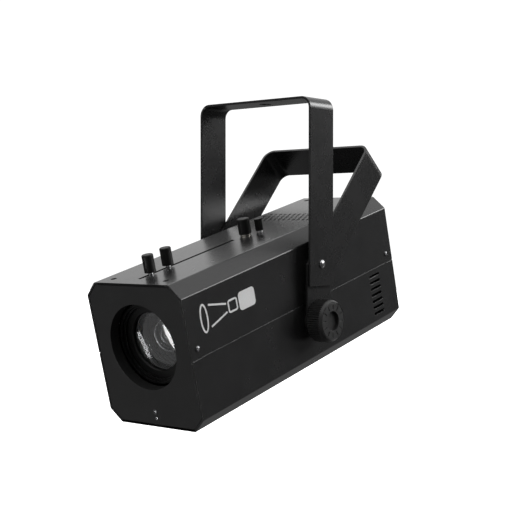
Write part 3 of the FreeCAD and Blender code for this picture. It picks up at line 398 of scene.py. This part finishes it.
def lamp_chip():
    """White ceramic square with a yellow phosphor disc on the optical axis."""
    material, graph, shader = new_material("lamp_chip")
    disc = graph.math("LESS_THAN", graph.from_optical_axis(), 9 * MM + SKIN)
    speckle = graph.mix(graph.fit(graph.noise(0.4 * MM), MIDDLE, UNIT),
                        (0.8, 0.55, 0.07, 1), (0.9, 0.68, 0.14, 1))
    graph.put(shader.inputs["Base Color"], graph.mix(disc, (0.7, 0.7, 0.68, 1), speckle))
    graph.put(shader.inputs["Roughness"], graph.fit(graph.noise(1 * MM), MIDDLE, (0.35, 0.5)))
    graph.put(shader.inputs["Normal"], graph.bump(graph.noise(0.3 * MM), 0.02 * MM))
    return material


def glass_fuse():
    """A glass tube between nickel caps."""
    material, graph, shader = new_material("glass_fuse", IOR=1.5)
    caps = graph.math("GREATER_THAN", graph.math("ABSOLUTE", graph.axis("X")), 5 * MM)
    graph.put(shader.inputs["Base Color"], graph.mix(caps, grey(0.95), (0.7, 0.68, 0.64, 1)))
    graph.put(shader.inputs["Metallic"], caps)
    graph.put(shader.inputs["Transmission Weight"], graph.math("SUBTRACT", 1.0, caps))
    graph.put(shader.inputs["Roughness"], graph.fit(graph.noise(1 * MM), MIDDLE, (0.05, 0.2)))
    return material


def ink():
    """Screen-printed white ink, slightly uneven."""
    material, graph, shader = new_material("white_ink")
    cover = graph.fit(graph.noise(0.5 * MM, 3.0), (0.3, 0.75), UNIT)
    graph.put(shader.inputs["Base Color"], graph.mix(cover, grey(0.78), grey(0.6)))
    graph.put(shader.inputs["Roughness"], graph.fit(graph.noise(1 * MM), MIDDLE, (0.5, 0.65)))
    graph.put(shader.inputs["Normal"], graph.bump(graph.noise(0.3 * MM), 0.01 * MM))
    return material


FINISHES = {
    "yoke_paint": powder_coat("yoke_coat", 0.012, 0.27),
    # The shell and the plate carry painted shade, dead black, in the roof's openings and in the aperture
    "shell_paint": powder_coat("shell_coat", 0.016, 0.26, roof_openings),
    "plate_paint": powder_coat("plate_coat", 0.011, 0.32, aperture),
    "knob_black": moulded("knob_plastic", (0.003, 0.003, 0.003), 0.5, KNOB_NECK_END, 0.3),
    "clamp_black": moulded("clamp_plastic", (0.011, 0.011, 0.011), 0.45),
    "black_nylon": moulded("nylon", (0.012, 0.012, 0.012), 0.5),
    "fan_black": moulded("fan_plastic", (0.012, 0.012, 0.013), 0.45),
    "wheel_plastic": moulded("acetal", (0.02, 0.02, 0.02), 0.4),
    "inlet_black": moulded("inlet_plastic", (0.01, 0.01, 0.01), 0.3),
    "screw_steel": metal("zinc_plate", (0.62, 0.62, 0.63), 0.2),
    "bright_steel": metal("ground_steel", (0.58, 0.58, 0.59), 0.22, (1, 8, 1)),
    "white_ink": ink(),
    "nickel": metal("nickel_plate", (0.66, 0.63, 0.58), 0.22),
    "bronze": metal("sintered_bronze", (0.55, 0.36, 0.16), 0.38, depth=0.02 * MM),
    "bare_alloy": metal("mill_alloy", (0.72, 0.73, 0.75), 0.35, (1, 1, 10)),
    "black_screw": metal("black_zinc", (0.3, 0.3, 0.31), 0.18),
    "black_alloy": anodised("black_anodise", 0.002, 0.35),
    "lens_glass": optical_glass(),
    "board_green": circuit_board(),
    "lamp_yellow": lamp_chip(),
    "fuse_glass": glass_fuse(),
    "component_black": banded("component_cases", 0.35, (0.5, 0.36, 0.05),
                              (-24 * MM, (0.03, 0.03, 0.03)), (20 * MM, (0.02, 0.06, 0.2))),
    "lead_sleeve": banded("lead_insulation", 0.4, (0.12, 0.05, 0.02),
                          (-3 * MM, (0.1, 0.3, 0.05)), (3 * MM, (0.02, 0.07, 0.3))),
}

# Nodes that look different from the rest of their slot
NODE_FINISHES = {"sunk_screws": metal("black_oxide", (0.02, 0.02, 0.02), 0.5)}


def finish_nodes():
    """Gives every node of the frame the finish of its slot."""
    for name, node in NODES.items():
        for holder in node.material_slots:
            holder.material = NODE_FINISHES.get(name, FINISHES[SLOTS[name]])


# ---------------------------------------------------------------- pieces

def new_piece(name, corners, faces, body, slot, smooth_below=None, replaces=()):
    """A mesh object that rides on a body. Corners are in metres in the row frame."""
    mesh = bpy.data.meshes.new(name)
    mesh.from_pydata([tuple(corner) for corner in corners], [], faces)
    shape = bmesh.new()
    shape.from_mesh(mesh)
    bmesh.ops.recalc_face_normals(shape, faces=shape.faces)
    shape.to_mesh(mesh)
    shape.free()
    if smooth_below:
        mesh.shade_smooth()
        mesh.set_sharp_from_angle(angle=math.radians(smooth_below))
    mesh.materials.append(FINISHES[slot])
    piece = bpy.data.objects.new(name, mesh)
    bpy.context.scene.collection.objects.link(piece)
    if replaces:
        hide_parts(*replaces)
    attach(piece, body)
    return piece


def turned(profile, segments=128):
    """Corners and faces of a ring of (radius, y) points in mm, turned about the optical axis."""
    corners, rows = [], []
    for radius, y in profile:
        count = segments if radius else 1
        row = []
        for k in range(count):
            angle = 2 * math.pi * k / segments
            row.append(len(corners))
            corner = Vector((radius * math.cos(angle), y, radius * math.sin(angle)))
            corners.append(LENS_FRAME @ (MM * corner))
        rows.append(row)
    faces = []
    for here, there in zip(rows, rows[1:] + rows[:1]):
        if len(here) == len(there) == 1:
            continue
        for k in range(segments):
            loop = [here[k % len(here)], here[(k + 1) % len(here)],
                    there[(k + 1) % len(there)], there[k % len(there)]]
            faces.append(tuple(dict.fromkeys(loop)))
    return corners, faces


def lens_profile(front, edge, radius, front_rise, rear_rise, steps=28):
    """Half section of a lens, from the front pole over the rim to the rear pole.

    A face bulges by its rise, or is hollow where the rise is negative."""
    def sag(r, rise):
        ball = (radius ** 2 + rise ** 2) / (2 * abs(rise))
        return math.copysign(ball - math.sqrt(ball ** 2 - r ** 2), rise)
    radii = [radius * k / steps for k in range(steps + 1)]
    nose = [(r, front - front_rise + sag(r, front_rise)) for r in radii]
    tail = [(r, front + edge + rear_rise - sag(r, rear_rise)) for r in reversed(radii)]
    return nose + tail


def lenses():
    """The zoom lens in one piece, and the focus lens as two thin shells with air between them."""
    pieces = (("focus_lens_glass", FRONT_SHELL, "focus_carriage", ("focus_lens",)),
              ("focus_lens_rear_shell", REAR_SHELL, "focus_carriage", ()),
              ("zoom_lens_glass", ZOOM_LENS, "zoom_carriage", ("zoom_lens",)))
    for name, sizes, body, nodes in pieces:
        corners, faces = turned(lens_profile(**sizes))
        new_piece(name, corners, faces, body, "lens_glass", 40, nodes)


def focus_window():
    """A flat glass at the rear of the focus barrel, with three fine polished rings standing on it."""
    corners, faces = turned([(0, WINDOW_FRONT), (WINDOW_R, WINDOW_FRONT),
                             (WINDOW_R, WINDOW_REAR), (0, WINDOW_REAR)])
    new_piece("focus_window", corners, faces, "focus_carriage", "lens_glass", 40)
    turns = [2 * math.pi * j / WIRE_FACETS for j in range(WIRE_FACETS)]
    for k, (radius, wire) in enumerate(WINDOW_RINGS):
        y = WINDOW_FRONT - wire
        corners, faces = turned([(radius + wire * math.cos(a), y + wire * math.sin(a)) for a in turns])
        new_piece("focus_window_ring_%d" % (k + 1), corners, faces, "focus_carriage", "bright_steel", 60)


def on_side(y, z, rise):
    """A point that stands proud of the housing's right side by its rise, all in millimetres."""
    return HOUSING @ Vector((HALF_WIDTH + rise * MM, y * MM, z * MM))


def inked_line(points, closed=True):
    """A raised line of even width along (y, z) points."""
    corners, count = [], len(points)
    for k, (y, z) in enumerate(points):
        before = points[k - 1] if closed or k else points[k]
        after = points[(k + 1) % count] if closed or k < count - 1 else points[k]
        along = Vector((after[0] - before[0], after[1] - before[1])).normalized()
        for side, rise in ((1, 0.0), (1, INK_DEPTH), (-1, INK_DEPTH), (-1, 0.0)):
            offset = side * HALF_STROKE
            corners.append(on_side(y - offset * along.y, z + offset * along.x, rise))
    faces = []
    for k in range(count if closed else count - 1):
        here, there = 4 * k, 4 * ((k + 1) % count)
        faces += [(here + j, here + (j + 1) % 4, there + (j + 1) % 4, there + j) for j in range(4)]
    if not closed:
        faces += [(0, 1, 2, 3), tuple(4 * (count - 1) + j for j in range(4))]
    return corners, faces


def inked_patch(points):
    """A raised flat patch bounded by (y, z) points."""
    count = len(points)
    corners = [on_side(y, z, rise) for rise in (0.0, INK_DEPTH) for y, z in points]
    faces = [tuple(range(count)), tuple(range(count, 2 * count))]
    faces += [(k, (k + 1) % count, count + (k + 1) % count, count + k) for k in range(count)]
    return corners, faces


def rounded_box(y, z, radius, steps=6):
    """Points round a box that spans y and z, with rounded corners."""
    centres = ((y[1] - radius, z[1] - radius), (y[0] + radius, z[1] - radius),
               (y[0] + radius, z[0] + radius), (y[1] - radius, z[0] + radius))
    points = []
    for quarter, (centre_y, centre_z) in enumerate(centres):
        for k in range(steps + 1):
            angle = math.radians(90 * quarter + 90 * k / steps)
            points.append((centre_y + radius * math.cos(angle), centre_z + radius * math.sin(angle)))
    return points


def oval(centre, half, steps=48):
    turns = [2 * math.pi * k / steps for k in range(steps)]
    return [(centre[0] + half[0] * math.cos(a), centre[1] + half[1] * math.sin(a)) for a in turns]


def side_mark():
    """A plain pictogram in white ink: a lamp, its barrel, two edges of its beam and the pool of light."""
    shapes = {"lamp": inked_patch(rounded_box(**LAMP)),
              "barrel": inked_line(rounded_box(**BARREL)),
              "pool": inked_line(oval(POOL_CENTRE, POOL_HALF)),
              "beam_upper": inked_line(BEAM_UPPER, closed=False),
              "beam_lower": inked_line(BEAM_LOWER, closed=False)}
    for name, (corners, faces) in shapes.items():
        new_piece("mark_" + name, corners, faces, "housing", "white_ink")


# ---------------------------------------------------------------- studio

def softbox(graph, direction, towards, half_width, half_height, level, blur, roll=0.0):
    """A soft-edged oblong of light on the sky; sizes are tangents of angles, and roll is in degrees."""
    forward = Vector(towards).normalized()
    level_right = forward.cross(Vector((0, 0, 1))).normalized()
    turn = Matrix.Rotation(math.radians(roll), 3, forward)
    right, up = turn @ level_right, turn @ level_right.cross(forward)
    ahead = graph.dot(direction, forward)
    mask = graph.math("GREATER_THAN", ahead, MASK_START)
    for side, half in ((right, half_width), (up, half_height)):
        offset = graph.math("ABSOLUTE", graph.math("DIVIDE", graph.dot(direction, side), ahead))
        within = graph.fit(offset, (half - blur, half + blur), (1.0, 0.0), "SMOOTHSTEP")
        mask = graph.math("MULTIPLY", mask, within)
    return graph.math("MULTIPLY", mask, level)


def glow(graph, direction, towards, inner, outer, level):
    """A round patch of light that fades from the inner to the outer angle, in degrees."""
    facing = graph.dot(direction, Vector(towards).normalized())
    edges = (math.cos(math.radians(outer)), math.cos(math.radians(inner)))
    return graph.fit(facing, edges, (0.0, level), "SMOOTHSTEP")


def studio_world():
    """White to the camera. To the object: a bright ceiling, dim walls, round glows and softboxes."""
    world = bpy.data.worlds.new("studio")
    bpy.context.scene.world = world
    world.use_nodes = True
    tree = world.node_tree
    tree.nodes.clear()
    graph = Graph(tree)
    direction = graph.node("ShaderNodeTexCoord").outputs["Generated"]
    height = graph.node("ShaderNodeSeparateXYZ", {"Vector": direction}).outputs["Z"]
    level = graph.fit(height, CEILING_EDGE, (WALLS, CEILING), "SMOOTHSTEP")
    for patch in GLOWS:
        level = graph.math("ADD", level, glow(graph, direction, *patch))
    for panel in SOFTBOXES:
        level = graph.math("ADD", level, softbox(graph, direction, *panel))
    seen = graph.node("ShaderNodeLightPath").outputs["Is Camera Ray"]
    strength = graph.math("ADD", graph.math("MULTIPLY", seen, BACKDROP),
                          graph.math("MULTIPLY", level, graph.math("SUBTRACT", 1.0, seen)))
    background = graph.node("ShaderNodeBackground", {"Color": grey(1.0), "Strength": strength})
    output = graph.node("ShaderNodeOutputWorld")
    graph.put(output.inputs["Surface"], background.outputs[0])


def studio_floor():
    """Paper that the camera sees as white and that neither lights the object nor shows in it."""
    mesh = bpy.data.meshes.new("studio_floor")
    shape = bmesh.new()
    bmesh.ops.create_circle(shape, cap_ends=True, segments=96, radius=FLOOR_RADIUS)
    shape.to_mesh(mesh)
    shape.free()
    floor = bpy.data.objects.new("studio_floor", mesh)
    floor.location = (0, 0, cad_low.z - FLOOR_DROP)
    floor.visible_diffuse = floor.visible_glossy = floor.visible_transmission = False
    bpy.context.scene.collection.objects.link(floor)
    material, graph, shader = new_material("floor_paper", Roughness=0.9, Emission_Strength=PAPER_GLOW)
    shader.inputs["Emission Color"].default_value = grey(1.0)
    graph.put(shader.inputs["Base Color"], graph.mix(graph.noise(0.4), grey(0.86), grey(0.88)))
    mesh.materials.append(material)


def camera():
    data = bpy.data.cameras.new("camera")
    data.lens = CAMERA_LENS
    data.sensor_width = SENSOR
    place = bpy.data.objects.new("camera", data)
    bpy.context.scene.collection.objects.link(place)
    place.location = CAMERA_PLACE
    place.rotation_euler = CAMERA_LOOK.to_track_quat("-Z", "Y").to_euler()
    bpy.context.scene.camera = place


camera()
finish_nodes()
lenses()
focus_window()
side_mark()
studio_world()
studio_floor()
bpy.context.scene.view_settings.view_transform = "Standard"
